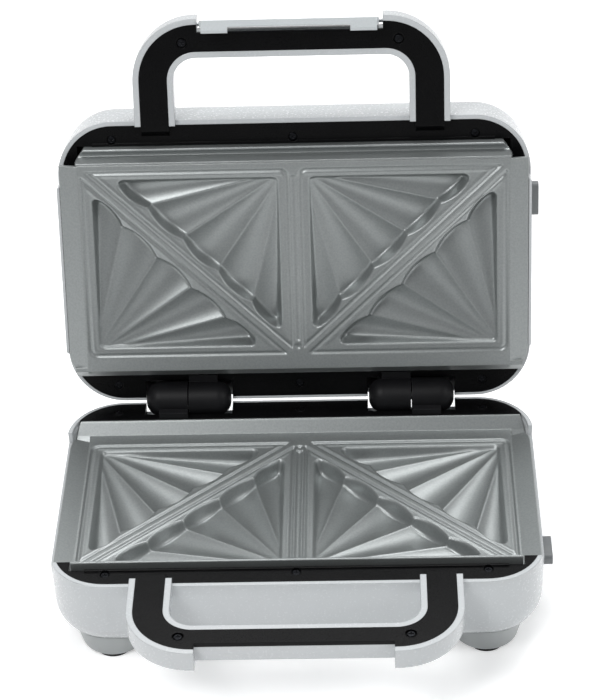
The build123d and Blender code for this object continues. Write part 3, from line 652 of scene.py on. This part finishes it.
class PlateRelief:
    """Depth of the cast relief below the face, as a formula over the plate."""

    def __init__(self, size: FieldSize, lines: LineSize) -> None:
        """Works out the scallops of one pocket.

        Args:
            size: Sizes of the fields and pockets.
            lines: Sizes of the fine lines.
        """
        self.size = size
        self.lines = lines
        middle = (size.cusps - 1) / 2 * size.pitch
        cusps = [(size.cusp_line + middle - k * size.pitch,
                  size.cusp_line - middle + k * size.pitch) for k in range(size.cusps)]
        self.stops = [(size.tip, 0.0)] + cusps + [(0.0, size.tip)]

    @staticmethod
    def _soft_least(a: np.ndarray, b: np.ndarray, blend: float) -> np.ndarray:
        """The lesser of two heights, with a smooth turn between them."""
        share = np.clip(0.5 + 0.5 * (b - a) / blend, 0, 1)
        return b * (1 - share) + a * share - blend * share * (1 - share)

    @staticmethod
    def _rounded(a: np.ndarray, b: np.ndarray, radius: float) -> np.ndarray:
        """Distance inside two edges that meet in a corner of the given radius."""
        corner = radius - np.hypot(np.minimum(a - radius, 0), np.minimum(b - radius, 0))
        return np.where((a < radius) & (b < radius), corner, np.minimum(a, b))

    @staticmethod
    def _groove(distance: np.ndarray, width: float, depth: float) -> np.ndarray:
        """Depth of a rounded groove at a distance from its middle line."""
        return depth * np.clip(1 - (distance / width) ** 2, 0, 1)

    def _inside(self, a: np.ndarray, b: np.ndarray) -> np.ndarray:
        """Measures how far points are inside the outline of a pocket.

        Args:
            a: Distances from the pocket's corner along one leg.
            b: Distances from the corner along the other leg.

        Returns:
            The distances from the outline, below 0 outside it.
        """
        s = self.size
        far = (2 * s.cusp_line - a - b) / math.sqrt(2)
        for (ax, ay), (bx, by) in zip(self.stops, self.stops[1:]):
            half = math.hypot(bx - ax, by - ay) / 2
            radius = (half ** 2 + s.bulge ** 2) / (2 * s.bulge)
            back = (radius - s.bulge) / math.sqrt(2)
            centre = ((ax + bx) / 2 - back, (ay + by) / 2 - back)
            far = np.maximum(far, radius - np.hypot(a - centre[0], b - centre[1]))
        legs = self._rounded(a, b, s.corner)
        return self._rounded(legs, far, s.tip_round)

    def _across(self, a: np.ndarray, b: np.ndarray) -> np.ndarray:
        """Places points across the flute that they are in.

        Args:
            a: Distances from the pocket's corner along one leg.
            b: Distances from the corner along the other leg.

        Returns:
            Places from -1 to 1, with 0 at the middle of a flute.
        """
        fan, margin = self.size.fan, 0.01
        near, wide = np.maximum(a, 0) + fan, np.maximum(b, 0) + fan
        share = wide / (near + wide)
        edges = [(y + fan) / (x + y + 2 * fan) for x, y in self.stops]
        edges[0], edges[-1] = edges[0] - margin, edges[-1] + margin
        across = np.zeros_like(a)
        for low, high in zip(edges, edges[1:]):
            here = (share >= low) & (share < high)
            across = np.where(here, 2 * (share - low) / (high - low) - 1, across)
        return across

    def _pocket(self, a: np.ndarray, b: np.ndarray) -> np.ndarray:
        """Works out the depth of a pocket.

        Args:
            a: Distances from the pocket's corner along one leg.
            b: Distances from the corner along the other leg.

        Returns:
            The depths, 0 outside the pocket.
        """
        s = self.size
        inside = self._inside(a, b)
        along = np.clip((a + b) / (2 * s.cusp_line), 0, s.reach)
        ridge = s.ridge * along * self._across(a, b) ** 2
        floor = s.start + (s.depth - s.start) * along - ridge
        power, rise = s.wall_shape
        wall = s.depth * (1 - (1 - np.clip(inside / s.wall, 0, 1)) ** power) * rise
        return np.where(inside > 0, self._soft_least(wall, floor, s.blend), 0.0)

    def _fine(self, x: np.ndarray, y: np.ndarray) -> np.ndarray:
        """Works out the depth of the fine lines.

        Args:
            x: Distances from the plate's middle, in millimetres.
            y: Distances from the plate's middle, in millimetres.

        Returns:
            The depth below the face, in millimetres.
        """
        s, lines = self.size, self.lines
        u, v = -np.abs(x) - s.cell[0], y - s.cell[1]
        rim = self._rounded(s.half[0] - np.abs(u), s.half[1] - np.abs(v), lines.corner)
        rib = np.abs(u * s.half[1] - v * s.half[0]) / math.hypot(*s.half)
        field = np.minimum(rim, rib - lines.rib)
        relief = lines.sunk[0] * np.clip(field / lines.sunk[1], 0, 1)
        for place, width, depth in (lines.groove, lines.bead):
            relief = relief + self._groove(field - place, width, depth)
        wide, length, middle, run, depth = lines.channel
        channel = np.minimum(wide - np.abs(x), length - np.abs(y - middle))
        relief = relief + depth * np.clip(channel / run, 0, 1)
        place, length, run, height = lines.stop
        stop = height * np.clip((length - np.abs(y - place)) / run, 0, 1)
        return relief - stop * (np.abs(x) < wide)

    def depth(self, x: np.ndarray, y: np.ndarray) -> np.ndarray:
        """Works out the depth of the whole relief.

        Args:
            x: Distances from the plate's middle, in millimetres.
            y: Distances from the plate's middle, in millimetres.

        Returns:
            The depth below the face, in millimetres.
        """
        s = self.size
        u, v = -np.abs(x) - s.cell[0], y - s.cell[1]
        hx, hy = s.half[0] - s.inset[0], s.half[1] - s.inset[1]
        pockets = np.maximum(self._pocket(hx - u, v + hy), self._pocket(hx + u, hy - v))
        fine, lip = self._fine(x, y), self.lines.lip
        fade = self._groove(np.minimum(pockets, lip), lip, 1.0)
        return np.where(pockets > 0, pockets + fine * fade, fine)


class CookingPlates(Assembly):
    """The two cast plates with what holds them in their halves."""

    finishes = {"lower_plate": COATED, "upper_plate": COATED, "lower_plate_seat": STEEL,
                "upper_plate_seat": STEEL, "lower_plate_catch": STEEL,
                "upper_plate_catch": STEEL, "lower_catch_spring": STEEL,
                "upper_catch_spring": STEEL}
    size = FieldSize()
    lines = LineSize()
    # A CAD copy's vertices nearer than this, in metres, are merged
    merge = 1e-6
    # Faces of the CAD plate that look further down than this are its back, and stay
    back_limit = -0.12

    def build(self) -> None:
        """Models each plate again with the soft relief of its casting."""
        for half, face in zip(Half, self.size.face):
            node = f"{half.value}_plate"
            matrix = self.placement.of(half)
            border = self._border(node, matrix)
            relief = self._relief(f"{node}_relief", face)
            relief.data.transform(matrix)
            if half is Half.UPPER:
                relief.data.flip_normals()
            self.fit(Workbench.gather([border, relief], f"{node}_cast"), half.body, node)

    def _relief(self, name: str, face: float) -> bpy.types.Object:
        """Models the part of a plate's face that carries the pockets.

        Args:
            name: Name of the object.
            face: Height of the face, in millimetres.

        Returns:
            The relief, in the closed drawing.
        """
        s = self.size
        wide, front, rear = s.patch
        Workbench.deselect()
        bpy.ops.mesh.primitive_grid_add(x_subdivisions=round(2 * wide / s.step),
                                        y_subdivisions=round((rear - front) / s.step), size=1,
                                        location=(0, (front + rear) / 2 * MM, 0))
        bpy.context.object.scale = (2 * wide * MM, (rear - front) * MM, 1)
        piece = Workbench.take(name)
        places = np.zeros(len(piece.data.vertices) * 3)
        piece.data.vertices.foreach_get("co", places)
        places = places.reshape(-1, 3)
        depth = PlateRelief(s, self.lines).depth(places[:, 0] / MM, places[:, 1] / MM)
        places[:, 2] = (face - depth) * MM
        piece.data.vertices.foreach_set("co", places.ravel())
        piece.data.update()
        Workbench.shade(piece, Shade.SMOOTH)
        return piece

    def _border(self, node: str, matrix: Matrix) -> bpy.types.Object:
        """Copies a plate's rims, lugs and back, without the top that the relief replaces.

        Args:
            node: Name of the plate's node.
            matrix: From the closed drawing to the frame.

        Returns:
            The copy, in its place.
        """
        wide, front, rear = (value * MM for value in self.size.patch)
        piece = bpy.data.objects.new(f"{node}_border", self.nodes[node].data.copy())
        bpy.context.scene.collection.objects.link(piece)
        piece.data.transform(matrix.inverted())
        mesh = bmesh.new()
        mesh.from_mesh(piece.data)
        bmesh.ops.remove_doubles(mesh, verts=mesh.verts, dist=self.merge)
        for place, along in (((wide, 0, 0), (1, 0, 0)), ((-wide, 0, 0), (1, 0, 0)),
                             ((0, front, 0), (0, 1, 0)), ((0, rear, 0), (0, 1, 0))):
            parts = mesh.verts[:] + mesh.edges[:] + mesh.faces[:]
            bmesh.ops.bisect_plane(mesh, geom=parts, plane_co=place, plane_no=along)
        bmesh.ops.recalc_face_normals(mesh, faces=mesh.faces)
        gone = []
        for face in mesh.faces:
            middle = face.calc_center_median()
            within = abs(middle.x) < wide and front < middle.y < rear
            if within and face.normal.z > self.back_limit:
                gone.append(face)
        bmesh.ops.delete(mesh, geom=gone, context="FACES")
        mesh.to_mesh(piece.data)
        mesh.free()
        piece.data.transform(matrix)
        if matrix.determinant() < 0:
            piece.data.flip_normals()
        Workbench.shade(piece, Shade.CRISP)
        return piece


class Heating(Assembly):
    """Elements, shields, controls and wiring inside the two halves."""

    finishes = {"lower_element": SHEATH, "upper_element": SHEATH, "lower_heat_shield": SHEET,
                "upper_heat_shield": SHEET, "lower_shield_screws": STEEL,
                "upper_shield_screws": STEEL, "lower_ceramic_bushes": CERAMIC,
                "upper_ceramic_bushes": CERAMIC, "lower_thermostat": STEEL,
                "upper_thermostat": STEEL, "thermal_fuse": CERAMIC, "terminal_block": NYLON,
                "live_lead": SLEEVE, "neutral_lead": SLEEVE}


class HingeAndClip(Assembly):
    """Hinge knuckles with their pins, and the clip that holds the halves shut."""

    finishes = {"lower_knuckles": KNUCKLE, "upper_knuckles": KNUCKLE, "hinge_pins": STEEL,
                "latch_clip": CLIP, "latch_pin": STEEL}


@dataclass(frozen=True)
class ButtonSize:
    """Sizes of a release button, in metres, in the closed drawing.

    Attributes:
        inner: Its inner end along x.
        outer: Its finger face along x.
        along: Its length along y.
        height: Its height.
        centre_y: Its middle along y.
        depth: Its middle, below the parting plane.
        corner: Radius of its four long edges.
        rim: Width of the flat rim round the dish.
        slopes: Widths of the steps down into the dish.
        dish: Depth of the dish.
        edge: Width of the softening of its small edges.
    """

    inner: float = 135.2 * MM
    outer: float = 145.3 * MM
    along: float = 20.4 * MM
    height: float = 6.8 * MM
    centre_y: float = -28.4 * MM
    depth: float = 30.8 * MM
    corner: float = 2.4 * MM
    rim: float = 0.7 * MM
    slopes: tuple[float, float] = (0.6 * MM, 0.9 * MM)
    dish: float = 0.8 * MM
    edge: float = 0.35 * MM


class ReleaseButtons(Assembly):
    """The two push buttons that free the plates."""

    finishes = {"lower_release_button": BUTTON, "upper_release_button": BUTTON}
    size = ButtonSize()
    # Edges turned by more than this, in radians, are softened
    sharp = math.radians(25)
    # Least cosine between a long edge and the x axis
    long_edge = 0.95

    def build(self) -> None:
        """Models both buttons with rounded corners and a dished finger face."""
        for half in Half:
            cap = self._cap(half)
            Workbench.settle(cap, self.placement.of(half), Shade.SMOOTH)
            self.fit(cap, f"{half.value}_button", f"{half.value}_release_button")

    def _cap(self, half: Half) -> bpy.types.Object:
        """Models one button.

        Args:
            half: The half that it is in.

        Returns:
            The button, in the closed drawing.
        """
        s = self.size
        cap = Workbench.slab(f"{half.value}_button_cap", (s.outer - s.inner, s.along, s.height),
                             ((s.outer + s.inner) / 2, s.centre_y, -s.depth))
        Workbench.edit(cap, "EDGE")
        Workbench.pick_edges(cap, lambda a, b: abs((b - a).normalized().x) > self.long_edge)
        bpy.ops.mesh.bevel(offset=s.corner, segments=6, affect="EDGES")
        bpy.ops.mesh.select_mode(type="FACE")
        bpy.ops.mesh.select_all(action="DESELECT")
        Workbench.pick_faces(cap, Vector((1, 0, 0)))
        bpy.ops.mesh.inset(thickness=s.rim)
        for slope in s.slopes:
            bpy.ops.mesh.inset(thickness=slope, depth=-s.dish / len(s.slopes))
        Workbench.apply(cap, "BEVEL", width=s.edge, segments=3, limit_method="ANGLE",
                        angle_limit=self.sharp)
        return cap


@dataclass(frozen=True)
class ScrewSize:
    """Sizes of a pan-head screw with a cross recess, in metres.

    Attributes:
        head: Radius of the head.
        rise: Height of the head.
        round_over: Size of the head's rounding.
        shank: Radius of the shank.
        slot: Width of each arm of the cross.
        reach: Length of each arm.
        cut: Depth of the cross.
        above: How far its cutter stands over the head.
        apart: Vertices nearer than this along x and y are on one screw.
        sides: Number of sides of the head.
    """

    head: float = 2.4 * MM
    rise: float = 1.4 * MM
    round_over: float = 0.55 * MM
    shank: float = 1.3 * MM
    slot: float = 0.62 * MM
    reach: float = 2.9 * MM
    cut: float = 0.8 * MM
    above: float = 0.1 * MM
    apart: float = 8 * MM
    sides: int = 40


class Fasteners(Assembly):
    """The screws that hold the inner frames and the handle faces."""

    finishes = {"lower_frame_screws": BLACK_STEEL, "upper_frame_screws": BLACK_STEEL,
                "lower_handle_screws": BLACK_STEEL, "upper_handle_screws": BLACK_STEEL}
    size = ScrewSize()

    def build(self) -> None:
        """Models every screw set that shows from outside."""
        for half in Half:
            for kind in ("frame_screws", "handle_screws"):
                self._set(half, f"{half.value}_{kind}")

    def _set(self, half: Half, node: str) -> None:
        """Puts a modelled screw on each screw of a node.

        Args:
            half: The half that the screws are in.
            node: Name of the node.
        """
        to_frame = self.placement.of(half)
        back = to_frame.inverted()
        groups: list[list[Vector]] = []
        for vertex in self.nodes[node].data.vertices:
            point = back @ vertex.co
            for group in groups:
                if (group[0].xy - point.xy).length < self.size.apart:
                    group.append(point)
                    break
            else:
                groups.append([point])
        screws = [self._screw(f"{node}_{index}", Extent.of(group))
                  for index, group in enumerate(groups)]
        piece = Workbench.gather(screws, f"{node}_dressed")
        Workbench.settle(piece, to_frame, Shade.CRISP)
        self.fit(piece, half.body, node)

    def _screw(self, name: str, extent: Extent) -> bpy.types.Object:
        """Models one screw with its shank and crossed recess.

        Args:
            name: Name of the object.
            extent: Box of the CAD's screw.

        Returns:
            The screw, in the closed drawing.
        """
        s = self.size
        low, high = extent.low[2], extent.high[2]
        screw = Workbench.disc(name, s.head, -s.rise, 0, s.sides)
        Workbench.edit(screw)
        Workbench.pick_faces(screw, Vector((0, 0, -1)))
        bpy.ops.mesh.inset(thickness=s.head - s.shank)
        bpy.ops.mesh.extrude_region_move(
            TRANSFORM_OT_translate={"value": (0, 0, low - high + s.rise)})
        bpy.ops.mesh.select_all(action="DESELECT")
        Workbench.pick_faces(screw, Vector((0, 0, 1)))
        bpy.ops.mesh.bevel(offset=s.round_over, segments=4, affect="EDGES")
        tall = s.cut + 2 * s.above
        for index, size in enumerate(((s.reach, s.slot, tall), (s.slot, s.reach, tall))):
            arm = Workbench.slab(f"{name}_cutter_{index}", size, (0, 0, s.above - s.cut / 2))
            Workbench.apply(screw, "BOOLEAN", operation="DIFFERENCE", object=arm,
                            solver="EXACT")
            bpy.data.objects.remove(arm)
        screw.data.transform(Matrix.Translation((*extent.middle, high)))
        return screw


class Lamps(Assembly):
    """The two lamps on the lid with their holders."""

    finishes = {"power_lens": RED_LENS, "ready_lens": GREEN_LENS, "lamp_holders": NYLON}
    # Size of the dome's rounding, as a share of the lens's radius or height
    rounding = 0.4
    crown = 0.6 * MM
    # Least cosine between the crown's normal and the lamp's axis
    level = 0.999
    sides = 48

    def build(self) -> None:
        """Models each lens as a dome with a flat crown."""
        matrix = self.placement.of(Half.UPPER)
        back = matrix.inverted()
        for node in ("power_lens", "ready_lens"):
            extent = Extent.of(back @ v.co for v in self.nodes[node].data.vertices)
            low, high = extent.low[2], extent.high[2]
            lens = Workbench.disc(f"{node}_dome", extent.radius, low, high, self.sides)
            Workbench.edit(lens)
            Workbench.pick_faces(lens, Vector((0, 0, -1)))
            bpy.ops.mesh.bevel(offset=min(extent.radius, high - low) * self.rounding,
                               segments=6, affect="EDGES")
            bpy.ops.mesh.select_all(action="DESELECT")
            Workbench.pick_faces(lens, Vector((0, 0, -1)), self.level)
            bpy.ops.mesh.inset(thickness=self.crown)
            Workbench.deselect()
            lens.data.transform(Matrix.Translation((*extent.middle, 0)))
            Workbench.settle(lens, matrix, Shade.SMOOTH)
            self.fit(lens, "lid", node)


class RubberPads(Assembly):
    """The pads that the appliance stands on."""

    finishes = {"foot_pads": RUBBER}
    rings = 3
    pitch = 2.6 * MM
    slope = 0.3 * MM
    groove = 0.5 * MM
    sides = 64
    # Cells of this size, in metres, each hold one pad's vertices
    cell = 0.05

    def build(self) -> None:
        """Models each pad with round grip grooves in its underside."""
        groups: dict[tuple[int, int], list[Vector]] = {}
        for vertex in self.nodes["foot_pads"].data.vertices:
            cell = (round(vertex.co.x / self.cell), round(vertex.co.y / self.cell))
            groups.setdefault(cell, []).append(vertex.co)
        pads = [self._pad(f"pad_{index}", Extent.of(group))
                for index, group in enumerate(groups.values())]
        piece = Workbench.gather(pads, "grip_pads")
        Workbench.settle(piece, Matrix.Identity(4), Shade.CRISP)
        self.fit(piece, "base", "foot_pads")

    def _pad(self, name: str, extent: Extent) -> bpy.types.Object:
        """Models one pad.

        Args:
            name: Name of the object.
            extent: Box of the CAD's pad.

        Returns:
            The pad, in its place.
        """
        pad = Workbench.disc(name, extent.radius, extent.low[2], extent.high[2], self.sides)
        Workbench.edit(pad)
        Workbench.pick_faces(pad, Vector((0, 0, -1)))
        for ring in range(self.rings):
            bpy.ops.mesh.inset(thickness=self.pitch)
            bpy.ops.mesh.inset(thickness=self.slope,
                               depth=-self.groove if ring % 2 == 0 else self.groove)
        Workbench.deselect()
        pad.data.transform(Matrix.Translation((*extent.middle, 0)))
        return pad


@dataclass(frozen=True)
class Shot:
    """The photograph's camera, about a point over the middle of the base.

    Attributes:
        yaw: Turn about the vertical, in degrees.
        pitch: Angle below the horizon, in degrees.
        roll: Tilt about the line of sight, in degrees.
        distance: From the aim to the lens, in metres.
        aim: Point looked at, in metres, in the frame.
        lens: Focal length for a 36 mm sensor along the picture's long side.
    """

    yaw: float = -2.012
    pitch: float = 34.179
    roll: float = -2.129
    distance: float = 1.432212
    aim: tuple[float, float, float] = (0.83 * MM, -10.745 * MM, 155.75 * MM)
    lens: float = 131.93


@dataclass(frozen=True)
class Lamp:
    """A soft studio light.

    Attributes:
        name: Name of the light.
        place: Its middle, in metres.
        size: Its side, in metres.
        power: Its power, in watts.
    """

    name: str
    place: tuple[float, float, float]
    size: float
    power: float


class Studio:
    """Floor, soft lights and camera."""

    lamps = (Lamp("key", (-0.55, -0.75, 1.25), 0.6, 10.0),
             Lamp("fill", (1.25, -0.5, 0.9), 0.7, 5.0),
             Lamp("top", (0.1, 0.55, 1.45), 1.0, 15.0))
    # Point that every lamp faces
    target = (0, 0, 0.12)
    # Light of the paper that only a camera, a reflection or a clear piece sees
    paper_lift = 0.36
    world_strength = 0.3
    # Floor: its extent, its middle along y, the height of its back, and the bend between them
    floor_size = (7, 5)
    floor_y = 0.4
    back_height = 3
    bend, bend_steps = 0.8, 16
    # Only the floor's rear edge lies beyond this
    rear = 2
    sensor = 36

    def set_up(self) -> None:
        """Builds the floor, the lights and the camera."""
        self._floor()
        for lamp in self.lamps:
            self._light(lamp)
        self._world()
        self._camera(Shot())
        bpy.context.scene.view_settings.view_transform = "Standard"

    def _floor(self) -> None:
        """Lays a white sheet that curves up behind the object."""
        Workbench.deselect()
        bpy.ops.mesh.primitive_plane_add(size=1, location=(0, self.floor_y, 0))
        bpy.context.object.scale = (*self.floor_size, 1)
        floor = Workbench.take("studio_sweep")
        Workbench.edit(floor, "EDGE")
        Workbench.pick_edges(floor, lambda a, b: min(a.y, b.y) > self.rear)
        bpy.ops.mesh.extrude_region_move(
            TRANSFORM_OT_translate={"value": (0, 0, self.back_height)})
        bpy.ops.mesh.select_all(action="DESELECT")
        Workbench.pick_edges(floor, lambda a, b: min(a.y, b.y) > self.rear
                             and max(a.z, b.z) < self.back_height / 2)
        bpy.ops.mesh.bevel(offset=self.bend, segments=self.bend_steps, affect="EDGES")
        Workbench.deselect()
        Workbench.shade(floor, Shade.SMOOTH)
        floor.data.materials.append(self._paper())

    def _paper(self) -> bpy.types.Material:
        """Lifts the background paper to white where it is seen, without lighting the object.

        Returns:
            The paper's material.
        """
        material = PAPER.make()
        tree = material.node_tree
        seen = add_node(tree, "ShaderNodeLightPath", {}, {}).outputs
        direct = add_node(tree, "ShaderNodeMath", {"operation": "ADD"},
                          {0: seen["Is Camera Ray"], 1: seen["Is Glossy Ray"]})
        whole = add_node(tree, "ShaderNodeMath", {"operation": "ADD"},
                         {0: direct.outputs[0], 1: seen["Is Transmission Ray"]})
        lift = add_node(tree, "ShaderNodeMath", {"operation": "MULTIPLY", 1: self.paper_lift},
                        {0: whole.outputs[0]})
        shader = tree.nodes["Principled BSDF"]
        shader.inputs["Emission Color"].default_value = linear("#FFFFFF")
        tree.links.new(lift.outputs[0], shader.inputs["Emission Strength"])
        return material

    def _light(self, lamp: Lamp) -> None:
        """Sets up a square soft light that faces the object.

        Args:
            lamp: The light to set up.
        """
        data = bpy.data.lights.new(lamp.name, "AREA")
        data.shape = "SQUARE"
        data.size = lamp.size
        data.energy = lamp.power
        light = bpy.data.objects.new(lamp.name, data)
        light.location = lamp.place
        aim = Vector(self.target) - Vector(lamp.place)
        light.rotation_euler = aim.to_track_quat("-Z", "Y").to_euler()
        bpy.context.scene.collection.objects.link(light)

    def _world(self) -> None:
        """Lights the object evenly from pale surroundings."""
        world = bpy.data.worlds.new("studio_surroundings")
        world.use_nodes = True
        background = world.node_tree.nodes["Background"]
        background.inputs["Color"].default_value = linear("#F4F6F8")
        background.inputs["Strength"].default_value = self.world_strength
        bpy.context.scene.world = world

    def _camera(self, shot: Shot) -> None:
        """Puts the photograph's camera in its place.

        Args:
            shot: The camera's place and lens.
        """
        yaw, pitch, roll = (math.radians(a) for a in (shot.yaw, shot.pitch, shot.roll))
        forward = Vector((math.sin(yaw) * math.cos(pitch), math.cos(yaw) * math.cos(pitch),
                          -math.sin(pitch)))
        right = Vector((math.cos(yaw), -math.sin(yaw), 0))
        up = right.cross(forward)
        across = right * math.cos(roll) + up * math.sin(roll)
        rise = -right * math.sin(roll) + up * math.cos(roll)
        data = bpy.data.cameras.new("product_camera")
        data.sensor_width = self.sensor
        data.lens = shot.lens
        camera = bpy.data.objects.new("product_camera", data)
        turn = Matrix((across, rise, -forward)).transposed().to_4x4()
        place = Vector(shot.aim) - forward * shot.distance
        camera.matrix_world = Matrix.Translation(place) @ turn
        bpy.context.scene.collection.objects.link(camera)
        bpy.context.scene.camera = camera


def main() -> None:
    """Dresses the appliance and sets up the studio."""
    logging.basicConfig(level=logging.INFO, format="%(name)s: %(message)s")
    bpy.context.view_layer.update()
    placement = Placement()
    for kind in (Casing, CookingPlates, Heating, HingeAndClip, ReleaseButtons, Fasteners, Lamps,
                 RubberPads):
        assembly = kind(frame["nodes"], placement)
        assembly.dress()
        assembly.build()
    Studio().set_up()


if __name__ == "__main__":
    main()
